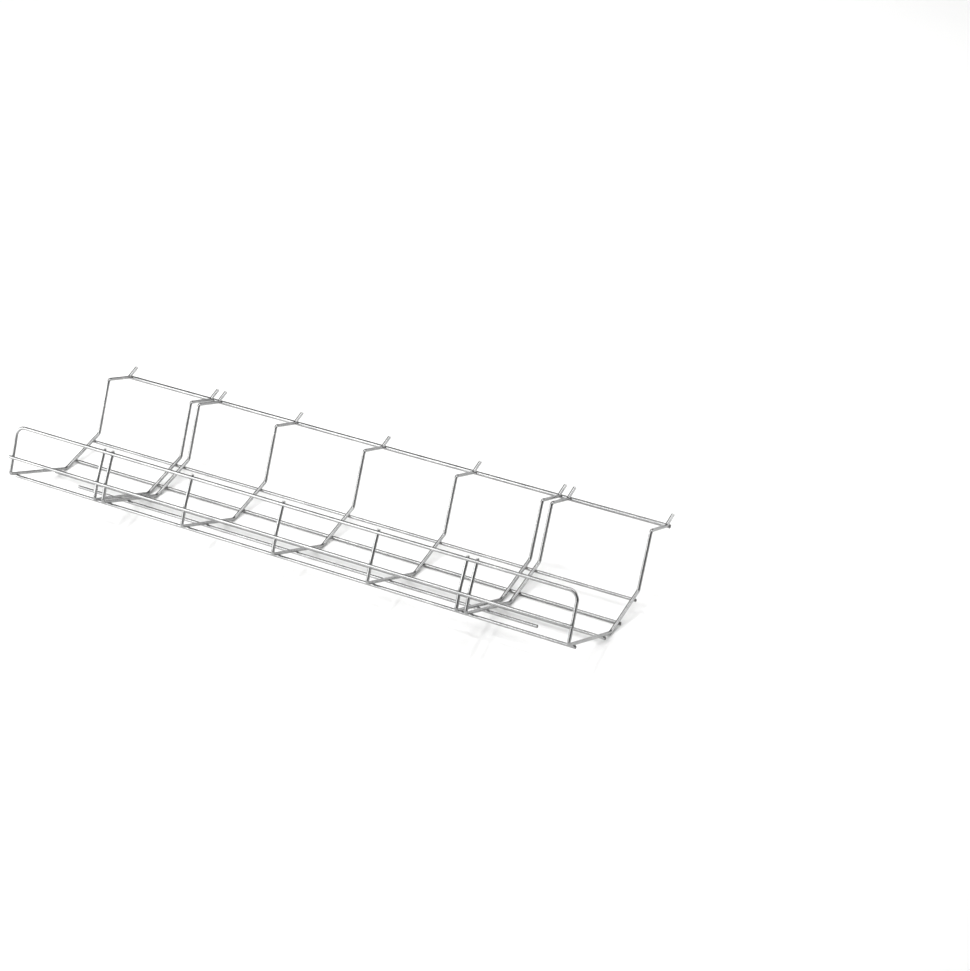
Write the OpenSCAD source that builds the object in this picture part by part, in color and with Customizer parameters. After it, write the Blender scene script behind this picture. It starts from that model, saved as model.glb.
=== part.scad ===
// Wire mesh cable basket: a long open trough of welded steel wire that hangs by its hooked back edge.
// It is drawn square to itself and then laid down as it comes to rest, tipped back so that it stands
// on the bends between floor and slope and on the lower slope rail.
// X runs along the basket, +Y towards the hooks, +Z up.

/* [Length] */
// Distance between cross wires
bay = 150; // [90:5:200]
// Distance from a doubled cross wire to its twin, one bay in from each end
pair_gap = 14.5; // [10:0.5:30]
// How far a rail runs past the middle of the end wires
rail_overhang = 3; // [3:0.5:12]
// How far the short middle floor rail runs past the doubled cross wires
middle_rail_overhang = 75; // [10:5:85]

/* [Wire] */
// Diameter of the cross wires and of the end loop
cross_d = 5; // [3:0.5:6]
// Diameter of the long rails
rail_d = 4.5; // [3:0.5:6]
// Diameter of the hanging rail along the hooks
hanging_d = 6; // [4:0.5:8]
// How deep two crossing wires sink into each other at a weld
weld_sink = 0.3; // [0:0.1:0.4]

/* [Section] */
// Height of the top front wire over the floor wires, between their middles
front_h = 70; // [55:1:120]
// Width of the floor from front corner to slope
floor_w = 130; // [110:1:200]
// How far the slope runs back
slope_run = 68; // [60:1:100]
// How far the slope rises
slope_rise = 50; // [40:1:80]
// Height of the back wall
back_h = 83; // [40:1:120]
// How far the back wall leans out over its height
back_lean = 2; // [0:0.5:6]
// Depth of the shelf from back wall to hook
shelf_w = 50; // [30:1:80]
// How far the shelf rises towards the hook
shelf_rise = 2; // [0:0.5:6]
// Length of the turned-up hook
hook_l = 22.5; // [14:0.5:40]
// Angle of the hook over the horizontal
hook_angle = 42; // [30:1:70]

/* [Bends] */
// Radius of the rounded ends of the top front wire
loop_corner_r = 13; // [8:0.5:25]
// Radius of the bend at the front corner
front_bend_r = 4; // [4:0.5:12]
// Radius of the bend from floor to slope
floor_bend_r = 14; // [6:0.5:24]
// Radius of the bend from slope to back wall
slope_bend_r = 7; // [5:0.5:20]
// Radius of the bend from back wall to shelf
back_bend_r = 4; // [4:0.5:12]
// Radius of the bend from shelf to hook
hook_bend_r = 7; // [5:0.5:12]
// Radius of the slight bend that sets the upright wires behind the top front wire
joggle_r = 20; // [10:1:40]

/* [Rails] */
// Height of the front rail over the floor wires
front_rail_z = 25; // [18:1:30]
// Height over the front rail at which the upright wires start to lean in
joggle_rise = 5; // [4:0.5:10]
// How far the upright wires stand up over the middle of the top front wire
upright_tip = 4; // [2:0.5:8]
// Distance of the first floor rail from the front corner
floor_rail_front_y = 18; // [14:1:30]
// Distance of the middle floor rail from the front corner
floor_rail_middle_y = 64; // [45:1:80]
// Distance of the rear floor rail from the bend to the slope
floor_rail_rear_in = 20; // [12:1:30]
// Distance of the lower slope rail from the bend, measured up the slope
slope_rail_lower_up = 24; // [12:1:35]
// Distance of the upper slope rail from the top of the slope, measured down the slope
slope_rail_upper_down = 14; // [10:1:25]
// Distance of the hanging rail from the bend, measured up the hook
hanging_rail_up = 5; // [4:0.5:10]

/* [Hidden] */
$fn = 48;
zinc = "#d5d8da";

// A bend leaves the wire this much thinner, and this length of the bend's arc lies inside each straight
bend_neck = 0.05;
bend_reach = 0.3;

// Places of the cross wires along the basket: three bays each side of the middle one, the outer pair doubled
half_l = 3 * bay;
pair_x = 2 * bay;
cross_x = [-pair_x, pair_gap - pair_x, -bay, 0, bay, pair_x - pair_gap, pair_x];

// Corners of the section as [y, z], from the front corner of the floor round to the tip of the hook
front_corner = [0, 0];
floor_corner = front_corner + [floor_w, 0];
slope_corner = floor_corner + [slope_run, slope_rise];
back_corner = slope_corner + [back_lean, back_h];
hook_corner = back_corner + [shelf_w, shelf_rise];
hook_dir = [cos(hook_angle), sin(hook_angle)];
hook_tip = hook_corner + hook_l * hook_dir;
section = [front_corner, floor_corner, slope_corner, back_corner, hook_corner, hook_tip];
section_bends = [front_bend_r, floor_bend_r, slope_bend_r, back_bend_r, hook_bend_r];

// The upright wires stand straight past the front rail, then lean in to pass behind the top front wire
joggle = [0, front_rail_z + joggle_rise];
lean = (cross_d - weld_sink) / (front_h - joggle[1]);
upright_top = [lean * (front_h + upright_tip - joggle[1]), front_h + upright_tip];

// A rail lies against the outside of the wires that it crosses
rail_seat = (cross_d + rail_d) / 2 - weld_sink;
hanging_seat = (cross_d + hanging_d) / 2 - weld_sink;
slope_dir = unit(slope_corner - floor_corner);

front_rail_at = [-rail_seat, front_rail_z];
floor_rail_front_at = [floor_rail_front_y, -rail_seat];
floor_rail_middle_at = [floor_rail_middle_y, -rail_seat];
floor_rail_rear_at = [floor_w - floor_rail_rear_in, -rail_seat];
slope_rail_lower_at = floor_corner + slope_rail_lower_up * slope_dir + rail_seat * outward(slope_dir);
slope_rail_upper_at = slope_corner - slope_rail_upper_down * slope_dir + rail_seat * outward(slope_dir);
hanging_rail_at = hook_corner + hanging_rail_up * hook_dir + hanging_seat * outward(hook_dir);

// At rest the lower slope rail touches the ground, and so does the outside of the bends between floor and
// slope, or the rear floor rail where that reaches lower
ground_bend_r = floor_bend_r + (cross_d - bend_neck) / 2;
ground_bend_at = floor_corner + [-floor_bend_r * tan(heading(floor_corner, slope_corner) / 2), floor_bend_r];
ground_reach = norm(slope_rail_lower_at - ground_bend_at);
bend_tilt = heading(ground_bend_at, slope_rail_lower_at) + asin((ground_bend_r - rail_d / 2) / ground_reach);
rest_tilt = max(bend_tilt, heading(floor_rail_rear_at, slope_rail_lower_at));
rest_floor = tipped(slope_rail_lower_at)[1] - rail_d / 2;
rest_front = tipped(front_corner + [front_bend_r, front_bend_r])[0] - front_bend_r - cross_d / 2;
rest_back = tipped(hook_tip)[0] + cross_d / 2 * abs(sin(hook_angle - rest_tilt));

function unit(v) = v / norm(v);
function outward(dir) = [dir[1], -dir[0]];
function heading(a, b) = atan2(b[1] - a[1], b[0] - a[0]);
function tipped(p) = [
    p[0] * cos(rest_tilt) + p[1] * sin(rest_tilt),
    p[1] * cos(rest_tilt) - p[0] * sin(rest_tilt)
];

// Turns at the inner corners of a path, and the lengths left straight between its bends
function turns(path) = [for (i = [1 : len(path) - 2])
    heading(path[i], path[i + 1]) - heading(path[i - 1], path[i])];
function trims(path, bends) = let (t = turns(path))
    concat([0], [for (i = [0 : len(t) - 1]) bends[i] * tan(abs(t[i]) / 2)], [0]);
function legs(path, bends) = let (cut = trims(path, bends))
    [for (i = [0 : len(path) - 2]) norm(path[i + 1] - path[i]) - cut[i] - cut[i + 1]];

// Straight wire along X, with its children carrying on from its end
module straight(l, d) {
    rotate([0, 90, 0]) cylinder(d = d, h = l);
    translate([l, 0, 0]) children();
}

// Bend of centre-line radius r in the XY plane, to the left if angle > 0, with its children carrying on.
// Its ends reach just inside the straight wires on both sides.
module bent(r, angle, d) {
    flip = angle < 0 ? 180 : 0;
    reach = bend_reach / r * 180 / PI;
    rotate([flip, 0, 0]) translate([0, r, 0]) {
        rotate([0, 0, -90 - reach])
            rotate_extrude(angle = abs(angle) + 2 * reach) translate([r, 0]) circle(d = d - bend_neck);
        rotate([0, 0, abs(angle)]) translate([0, -r, 0]) rotate([flip, 0, 0]) children();
    }
}

// Rest of a bent wire from its leg i on
module run(legs, turns, bends, d, i = 0) {
    straight(legs[i], d)
        if (i < len(turns)) bent(bends[i], turns[i], d) run(legs, turns, bends, d, i + 1);
}

// Wire bent along a path in the XY plane, with one bend radius for each inner corner
module bent_wire(path, bends, d) {
    translate(path[0]) rotate([0, 0, heading(path[0], path[1])])
        run(legs(path, bends), turns(path), bends, d);
}

// Stands a drawing of the section up across the basket at x
module across(x) {
    translate([x, 0, 0]) rotate([90, 0, 90]) children();
}

// Lays the basket down as it rests, with the origin under the middle of its outline
module at_rest() {
    translate([0, -(rest_front + rest_back) / 2, -rest_floor]) rotate([-rest_tilt, 0, 0]) children();
}

// One wire that is the top front edge and both end sections
module end_loop_wire() {
    path = concat([[0, front_h - loop_corner_r]], section);
    run_l = 2 * (half_l - loop_corner_r);
    color(zinc) at_rest() translate([0, 0, front_h]) {
        rotate([0, 90, 0]) cylinder(d = cross_d, h = run_l, center = true);
        for (end = [0, 1]) mirror([end, 0, 0]) rotate([-90, 0, 0]) translate([run_l / 2, 0, 0])
            bent(loop_corner_r, 90, cross_d) rotate([90, 0, 0])
                run(legs(path, section_bends), turns(path), section_bends, cross_d);
    }
}

// Cross wire bent to the section, with its upright end set behind the top front wire
module cross_wire(i) {
    color(zinc) at_rest() across(cross_x[i - 1])
        bent_wire(concat([upright_top, joggle], section), concat([joggle_r], section_bends), cross_d);
}

// Straight rail along the basket at a place in the section
module rail(at, half_length, d) {
    color(zinc) at_rest()
        translate([-half_length, at[0], at[1]]) rotate([0, 90, 0]) cylinder(d = d, h = 2 * half_length);
}

module front_rail() { rail(front_rail_at, half_l + rail_overhang, rail_d); }
module floor_rail_front() { rail(floor_rail_front_at, half_l + rail_overhang, rail_d); }
module floor_rail_middle() { rail(floor_rail_middle_at, pair_x + middle_rail_overhang, rail_d); }
module floor_rail_rear() { rail(floor_rail_rear_at, half_l + rail_overhang, rail_d); }
module slope_rail_lower() { rail(slope_rail_lower_at, half_l + rail_overhang, rail_d); }
module slope_rail_upper() { rail(slope_rail_upper_at, half_l + rail_overhang, rail_d); }
module hanging_rail() { rail(hanging_rail_at, half_l + rail_overhang, hanging_d); }

end_loop_wire();
for (i = [1 : len(cross_x)])
    cross_wire(i);
front_rail();
floor_rail_front();
floor_rail_middle();
floor_rail_rear();
slope_rail_lower();
slope_rail_upper();
hanging_rail();
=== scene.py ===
import math, random
import bpy, bmesh
from mathutils import Matrix, Vector


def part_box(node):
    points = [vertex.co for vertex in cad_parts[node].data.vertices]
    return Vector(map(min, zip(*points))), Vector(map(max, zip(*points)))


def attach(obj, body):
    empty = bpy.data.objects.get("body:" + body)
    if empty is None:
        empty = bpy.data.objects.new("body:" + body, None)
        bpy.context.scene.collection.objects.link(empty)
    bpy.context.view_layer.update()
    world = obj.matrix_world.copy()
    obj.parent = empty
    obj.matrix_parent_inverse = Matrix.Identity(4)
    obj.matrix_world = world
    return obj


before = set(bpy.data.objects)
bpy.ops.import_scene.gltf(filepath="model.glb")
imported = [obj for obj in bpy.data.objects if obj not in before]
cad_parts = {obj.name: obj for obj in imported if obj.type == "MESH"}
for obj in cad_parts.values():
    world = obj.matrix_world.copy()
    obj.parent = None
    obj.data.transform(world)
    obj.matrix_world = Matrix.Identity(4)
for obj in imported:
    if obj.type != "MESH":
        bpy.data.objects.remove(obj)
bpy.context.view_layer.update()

# Wire mesh cable basket: zinc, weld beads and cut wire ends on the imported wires, then floor and light.
# Lengths are in metres and angles in degrees. The basket's front looks along -Y.

# ---- Camera, at the photograph's angle ----------------------------------------------------------
VIEW_AZ = 30.24      # how far the camera stands round to the right of the front
VIEW_EL = 31.73      # how far it looks down
VIEW_ROLL = -1.46
LENS = 87.15         # mm
SENSOR = 36          # mm
FAR_CLIP = 50
EYE = Vector((1.5826, -2.2940, 1.7938))


def add_camera():
    camera = bpy.data.objects.new("camera", bpy.data.cameras.new("camera"))
    camera.data.lens = LENS
    camera.data.sensor_width = SENSOR
    camera.data.clip_end = FAR_CLIP
    turn = Matrix.Rotation(math.radians(VIEW_AZ), 4, "Z")
    nod = Matrix.Rotation(math.radians(90 - VIEW_EL), 4, "X")
    roll = Matrix.Rotation(math.radians(VIEW_ROLL), 4, "Z")
    camera.matrix_world = Matrix.Translation(EYE) @ turn @ nod @ roll
    bpy.context.scene.collection.objects.link(camera)
    bpy.context.scene.camera = camera


# ---- The basket's sizes --------------------------------------------------------------------------
CROSS_D = 0.005      # diameter of the end loop and of the wires bent to the section
LOOP_CORNER = 0.013  # radius of the end loop's upper corners
SINK = 0.0003        # how deep two wires sink into each other at a weld
TILT = 24.863        # how far the basket leans back at rest

# Angles over the basket's own floor
FRONT = 90           # the front wall, where the front rail lies
UPRIGHT = 83.6       # the upper part of the uprights, which leans behind the top wire
SLOPE = 36.33
HOOK = 42.0

# The section's front corner at rest, and points in the section: back along its floor, and up
CORNER = Vector((0, -0.15232, 0.05650))
UPRIGHT_TIP = (0.00515, 0.074)
TOP_WELD = (0.00235, 0.070)
HOOK_TIP = (0.26672, 0.15005)

CROSS_WIRES = ["cross_wire_%d" % i for i in range(1, 8)]
# Each rail, and the angle of the wires that lie against it
RAILS = {
    "front_rail": FRONT, "floor_rail_front": 0, "floor_rail_middle": 0, "floor_rail_rear": 0,
    "slope_rail_lower": SLOPE, "slope_rail_upper": SLOPE, "hanging_rail": HOOK,
}


def middle(node):
    """Centre and size of a node's box."""
    low, high = (Vector(v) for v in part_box(node))
    return (low + high) / 2, high - low


def end_place():
    """X of the end loop's right section, which the left one mirrors."""
    return (middle("end_loop_wire")[1].x - CROSS_D) / 2


def inner_places():
    """X of the wires between the end loop's two sections."""
    return [middle(name)[0].x for name in CROSS_WIRES]


def all_places():
    return sorted(inner_places() + [-end_place(), end_place()])


def section_axes(angle):
    """Direction of a wire at an angle over the basket's floor, and the normal on its rear or lower side."""
    turn = math.radians(angle - TILT)
    return Vector((0, math.cos(turn), math.sin(turn))), Vector((0, math.sin(turn), -math.cos(turn)))


def seat_axes(angle):
    """Direction of the wires that lie against a rail, and the normal from the rail towards them."""
    along, rear = section_axes(angle)
    return along, rear if angle == FRONT else -rear


def at_rest(x, y, z):
    """Place at rest of a point in the section of the wire at x."""
    return CORNER + Vector((x, 0, 0)) + y * section_axes(0)[0] + z * section_axes(FRONT)[0]


# ---- Materials -----------------------------------------------------------------------------------
# Colour of the metal's dark and light patches
ZINC = (0.28, 0.282, 0.284, 1), (0.41, 0.412, 0.41, 1)
WELDED = (0.20, 0.197, 0.194, 1), (0.32, 0.318, 0.315, 1)
SHEARED = (0.12, 0.12, 0.118, 1), (0.24, 0.238, 0.235, 1)
BRIGHT = (0.60, 0.60, 0.595, 1), (0.76, 0.76, 0.755, 1)

# Roughness in the dark and in the light patches
PLATED = 0.16, 0.34
PITTED = 0.34, 0.55

PATCHES = 38.0       # noise scale of the patches, a few centimetres long
PATCH_EDGES = 0.3, 0.72
WELD_PITS = 1800.0   # noise scales of the pits, which are under a millimetre
CUT_PITS = 2200.0
LINE_BUMP = 0.15
PIT_BUMP = 0.4
RELIEF = 0.0002      # depth of the draw lines and pits
ALONG_X = (20, 2500, 2500)      # stretch of the draw lines on a wire that runs along X
ALONG_SECTION = (2500, 60, 60)  # and on a wire that is bent to the section
LOOP_BLEND = 0.004   # how far either side of a loop corner's start the draw lines turn
BRIGHT_METAL = 0.35  # a fresh cut mirrors less and scatters more
FLOOR_WHITE = (0.85, 0.85, 0.846, 1)
FLOOR_ROUGHNESS = 0.9


def node_material(name):
    mat = bpy.data.materials.new(name)
    mat.use_nodes = True
    tree = mat.node_tree
    return mat, tree, tree.nodes["Principled BSDF"]


def link(tree, out, into):
    tree.links.new(out, into)


def add_node(tree, kind, **values):
    """New node with its settings and, where no setting has that name, its input sockets filled in."""
    node = tree.nodes.new(kind)
    for name, value in values.items():
        if hasattr(node, name):
            setattr(node, name, value)
        else:
            node.inputs[name].default_value = value
    return node


def ramp(tree, value, start, end, **settings):
    """Number that goes from 0 to 1 as the value goes from start to end."""
    node = add_node(tree, "ShaderNodeMapRange", **{"From Min": start, "From Max": end}, **settings)
    link(tree, value, node.inputs["Value"])
    return node.outputs["Result"]


def zinc_skin(name, tones=ZINC, roughness=PLATED, metallic=1.0):
    """Zinc with cloudy patches that differ in tone and in roughness."""
    mat, tree, skin = node_material(name)
    skin.inputs["Metallic"].default_value = metallic
    place = add_node(tree, "ShaderNodeTexCoord")
    patches = add_node(tree, "ShaderNodeTexNoise", Scale=PATCHES, Detail=4.0, Roughness=0.6)
    link(tree, place.outputs["Object"], patches.inputs["Vector"])
    tint = add_node(tree, "ShaderNodeValToRGB")
    for element, position, tone in zip(tint.color_ramp.elements, PATCH_EDGES, tones):
        element.position = position
        element.color = tone
    link(tree, patches.outputs["Fac"], tint.inputs["Fac"])
    link(tree, tint.outputs["Color"], skin.inputs["Base Color"])
    shine = add_node(tree, "ShaderNodeMapRange", **{"To Min": roughness[0], "To Max": roughness[1]})
    link(tree, patches.outputs["Fac"], shine.inputs["Value"])
    link(tree, shine.outputs["Result"], skin.inputs["Roughness"])
    return mat, tree, skin, place


def add_bump(tree, skin, height, strength):
    bump = add_node(tree, "ShaderNodeBump", Strength=strength, Distance=RELIEF)
    link(tree, height, bump.inputs["Height"])
    link(tree, bump.outputs["Normal"], skin.inputs["Normal"])


def draw_lines(tree, place, stretch):
    """Fine lines that the drawing die leaves along a wire."""
    mapping = add_node(tree, "ShaderNodeMapping", Scale=stretch)
    link(tree, place.outputs["Object"], mapping.inputs["Vector"])
    lines = add_node(tree, "ShaderNodeTexNoise", Scale=1.0, Detail=2.0)
    link(tree, mapping.outputs["Vector"], lines.inputs["Vector"])
    return lines.outputs["Fac"]


def drawn_zinc(name, stretch):
    mat, tree, skin, place = zinc_skin(name)
    add_bump(tree, skin, draw_lines(tree, place, stretch), LINE_BUMP)
    return mat


def loop_zinc(name):
    """The end loop runs along X between its upper corners and along the section beyond them."""
    mat, tree, skin, place = zinc_skin(name)
    split = add_node(tree, "ShaderNodeSeparateXYZ")
    link(tree, place.outputs["Object"], split.inputs["Vector"])
    out = add_node(tree, "ShaderNodeMath", operation="ABSOLUTE")
    link(tree, split.outputs["X"], out.inputs[0])
    corner = end_place() - LOOP_CORNER
    pick = add_node(tree, "ShaderNodeMix", data_type="FLOAT")
    past = ramp(tree, out.outputs["Value"], corner - LOOP_BLEND, corner + LOOP_BLEND)
    link(tree, past, pick.inputs["Factor"])
    link(tree, draw_lines(tree, place, ALONG_X), pick.inputs["A"])
    link(tree, draw_lines(tree, place, ALONG_SECTION), pick.inputs["B"])
    add_bump(tree, skin, pick.outputs["Result"], LINE_BUMP)
    return mat


def grainy_zinc(name, tones, pit_scale, metallic=1.0):
    """Duller, finely pitted metal for welds and cut faces."""
    mat, tree, skin, place = zinc_skin(name, tones, PITTED, metallic)
    pits = add_node(tree, "ShaderNodeTexNoise", Scale=pit_scale, Detail=3.0)
    link(tree, place.outputs["Object"], pits.inputs["Vector"])
    add_bump(tree, skin, pits.outputs["Fac"], PIT_BUMP)
    return mat


def dress_nodes():
    rail = drawn_zinc("rail zinc", ALONG_X)
    cross = drawn_zinc("cross wire zinc", ALONG_SECTION)
    metals = dict.fromkeys(CROSS_WIRES, cross)
    metals["end_loop_wire"] = loop_zinc("loop zinc")
    for name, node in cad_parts.items():
        node.data.materials.clear()
        node.data.materials.append(metals.get(name, rail))


# ---- Small relief: what welds and cut ends share -------------------------------------------------
def spokes(steps, one, other):
    """Unit directions once round, starting at one and turning towards the other."""
    turns = [2 * math.pi * j / steps for j in range(steps)]
    return [math.cos(turn) * one + math.sin(turn) * other for turn in turns]


def close_rings(mesh, rings, first, last):
    """Faces from the first point over a row of rings to the last point."""
    steps = len(rings[0])
    start = mesh.verts.new(first)
    end = mesh.verts.new(last)
    for j in range(steps):
        k = (j + 1) % steps
        mesh.faces.new((start, rings[0][j], rings[0][k]))
        mesh.faces.new((end, rings[-1][k], rings[-1][j]))
        for near, far in zip(rings, rings[1:]):
            mesh.faces.new((near[j], far[j], far[k], near[k]))


def add_piece(name, mesh, material):
    bmesh.ops.recalc_face_normals(mesh, faces=mesh.faces)
    data = bpy.data.meshes.new(name)
    mesh.to_mesh(data)
    mesh.free()
    data.shade_smooth()
    data.materials.append(material)
    piece = bpy.data.objects.new(name, data)
    bpy.context.scene.collection.objects.link(piece)
    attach(piece, "root")


# ---- Welds ---------------------------------------------------------------------------------------
BEAD_R = 0.0024
BEAD_T = 0.0009      # half of a bead's thickness
BEAD_EDGE = 0.6      # under 1 this makes the rim blunt
BEAD_LEVELS = 7
BEAD_STEPS = 14
RIM_SPREAD = 0.92, 1.1     # factors by which a rim point and a bead differ from the rest
THICK_SPREAD = 0.85, 1.1


def add_bead(mesh, at, along, normal, draw):
    """Squeezed-out collar of metal round the contact of two crossing wires."""
    spread = [draw.uniform(*RIM_SPREAD) for _ in range(BEAD_STEPS)]
    thick = draw.uniform(*THICK_SPREAD)
    directions = spokes(BEAD_STEPS, along, along.cross(normal))
    rings = []
    for i in range(1, BEAD_LEVELS):
        polar = math.pi * i / BEAD_LEVELS
        rise = normal * (BEAD_T * thick * math.cos(polar))
        ring = []
        for wide, spoke in zip(spread, directions):
            reach = BEAD_R * wide * math.sin(polar) ** BEAD_EDGE
            ring.append(mesh.verts.new(at + spoke * reach + rise))
        rings.append(ring)
    pole = normal * BEAD_T * thick
    close_rings(mesh, rings, at + pole, at - pole)


def add_welds():
    draw = random.Random(7)
    material = grainy_zinc("weld zinc", WELDED, WELD_PITS)
    for rail, angle in RAILS.items():
        at, size = middle(rail)
        along, normal = seat_axes(angle)
        seat = normal * (size.y / 2 - SINK / 2)
        mesh = bmesh.new()
        for x in all_places():
            if abs(x) < size.x / 2:
                add_bead(mesh, Vector((x, at.y, at.z)) + seat, along, normal, draw)
        add_piece("welds_" + rail, mesh, material)
    mesh = bmesh.new()
    along, normal = section_axes(UPRIGHT)
    for x in inner_places():
        add_bead(mesh, at_rest(x, *TOP_WELD), along, normal, draw)
    add_piece("welds_top_wire", mesh, grainy_zinc("ground weld zinc", BRIGHT, CUT_PITS, BRIGHT_METAL))


# ---- Cut ends ------------------------------------------------------------------------------------
# Radius in wire radii, and height past the wire's end: a foot in the wire, a burred rim, a low dome
CAP_PROFILE = ((0.97, -0.0014), (1.035, -0.0011), (1.045, -0.0002), (0.93, 0.00025), (0.5, 0.0005))
CAP_TOP = 0.0006
CAP_STEPS = 16
CAP_WEAR = 0.00008   # most that a point of the cap is worn or raised
RAIL_TRIM = 0.0001   # off a rail's radius, so that no burr dips under the floor


def add_cap(mesh, end, along, radius, draw):
    """Sheared end of a wire: a slightly burred rim with a shallow dome."""
    side = along.orthogonal().normalized()
    directions = spokes(CAP_STEPS, side, along.cross(side))
    wear = [draw.uniform(-1, 1) for _ in range(CAP_STEPS)]
    rings = []
    for reach, rise in CAP_PROFILE:
        ring = []
        for worn, spoke in zip(wear, directions):
            out = spoke * radius * reach
            ring.append(mesh.verts.new(end + out + along * (rise + CAP_WEAR * worn)))
        rings.append(ring)
    foot = CAP_PROFILE[0][1]
    close_rings(mesh, rings, end + along * foot, end + along * CAP_TOP)


def add_ends():
    draw = random.Random(11)
    cut = grainy_zinc("cut zinc", BRIGHT, CUT_PITS, BRIGHT_METAL)
    sheared = grainy_zinc("sheared zinc", SHEARED, CUT_PITS)
    uprights, hooks, rails = bmesh.new(), bmesh.new(), bmesh.new()
    for x in inner_places():
        add_cap(uprights, at_rest(x, *UPRIGHT_TIP), section_axes(UPRIGHT)[0], CROSS_D / 2, draw)
    for x in all_places():
        add_cap(hooks, at_rest(x, *HOOK_TIP), section_axes(HOOK)[0], CROSS_D / 2, draw)
    for rail in RAILS:
        at, size = middle(rail)
        for side in (-1, 1):
            end = Vector((side * size.x / 2, at.y, at.z))
            add_cap(rails, end, Vector((side, 0, 0)), size.y / 2 - RAIL_TRIM, draw)
    add_piece("upright_ends", uprights, cut)
    add_piece("hook_ends", hooks, cut)
    add_piece("rail_ends", rails, sheared)


# ---- Floor and light -----------------------------------------------------------------------------
FLOOR_HALF = 8.0
STUDIO_GLOW = 0.09
WALL_GLOW = 1.2      # added to the studio's glow

# Where the light wall fades in, as parts of the view's direction along each axis: from none to full
WALL_BEHIND = 0.3, 0.8
WALL_RIGHT = -0.40, -0.20
WALL_LOW = 0.30, 0.12

# Name, direction from the basket, distance, width, height, radiance, and whether the wires mirror it
PANELS = [
    ("high panel", (-0.43, -0.47, 0.77), 2.8, 1.9, 1.6, 4.3, True),
    ("low panel", (-0.75, -0.64, 0.30), 2.8, 3.0, 1.3, 4.3, True),
    ("left fill", (0.06, -0.96, 0.27), 1.4, 0.9, 0.9, 0.7, True),
    ("top panel", (0.15, 0.18, 0.97), 3.2, 3.0, 2.1, 3.6, True),
    ("side panel", (0.82, 0.47, 0.33), 2.8, 1.6, 1.3, 2.4, True),
    ("key", (-0.355, 0.638, 0.683), 3.5, 0.3, 0.3, 110, False),
    ("back wash", (-0.38, 0.82, 0.43), 3.2, 4.0, 1.0, 1.3, False),
]


def add_floor():
    mesh = bpy.data.meshes.new("floor")
    corners = [(x * FLOOR_HALF, y * FLOOR_HALF, 0) for x, y in ((-1, -1), (1, -1), (1, 1), (-1, 1))]
    mesh.from_pydata(corners, [], [(0, 1, 2, 3)])
    mat, _, skin = node_material("floor white")
    skin.inputs["Base Color"].default_value = FLOOR_WHITE
    skin.inputs["Roughness"].default_value = FLOOR_ROUGHNESS
    mesh.materials.append(mat)
    floor = bpy.data.objects.new("floor", mesh)
    bpy.context.scene.collection.objects.link(floor)


def add_panel(name, toward, distance, width, height, radiance, mirrored):
    """Softbox that shines at the basket from the direction toward."""
    lamp = bpy.data.lights.new(name, "AREA")
    lamp.shape = "RECTANGLE"
    lamp.size = width
    lamp.size_y = height
    lamp.energy = radiance * math.pi * width * height
    light = bpy.data.objects.new(name, lamp)
    toward = Vector(toward).normalized()
    light.location = toward * distance
    light.rotation_euler = toward.to_track_quat("Z", "Y").to_euler()
    light.visible_glossy = mirrored
    bpy.context.scene.collection.objects.link(light)


def product(tree, one, other):
    node = add_node(tree, "ShaderNodeMath", operation="MULTIPLY")
    link(tree, one, node.inputs[0])
    link(tree, other, node.inputs[1])
    return node.outputs["Value"]


def add_world():
    """Dark studio, with a light wall low down behind the basket, all but its far left."""
    world = bpy.data.worlds.new("studio")
    world.use_nodes = True
    tree = world.node_tree
    place = add_node(tree, "ShaderNodeTexCoord")
    split = add_node(tree, "ShaderNodeSeparateXYZ")
    link(tree, place.outputs["Generated"], split.inputs["Vector"])
    behind = ramp(tree, split.outputs["Y"], *WALL_BEHIND, interpolation_type="SMOOTHSTEP")
    right = ramp(tree, split.outputs["X"], *WALL_RIGHT, interpolation_type="SMOOTHSTEP")
    low = ramp(tree, split.outputs["Z"], *WALL_LOW, interpolation_type="SMOOTHSTEP")
    glow = add_node(tree, "ShaderNodeMath", operation="MULTIPLY_ADD")
    link(tree, product(tree, product(tree, behind, low), right), glow.inputs[0])
    glow.inputs[1].default_value = WALL_GLOW
    glow.inputs[2].default_value = STUDIO_GLOW
    back = tree.nodes["Background"]
    back.inputs["Color"].default_value = (1, 1, 1, 1)
    link(tree, glow.outputs["Value"], back.inputs["Strength"])
    bpy.context.scene.world = world


add_camera()
dress_nodes()
add_welds()
add_ends()
add_floor()
add_world()
for panel in PANELS:
    add_panel(*panel)
bpy.context.scene.view_settings.view_transform = "Standard"
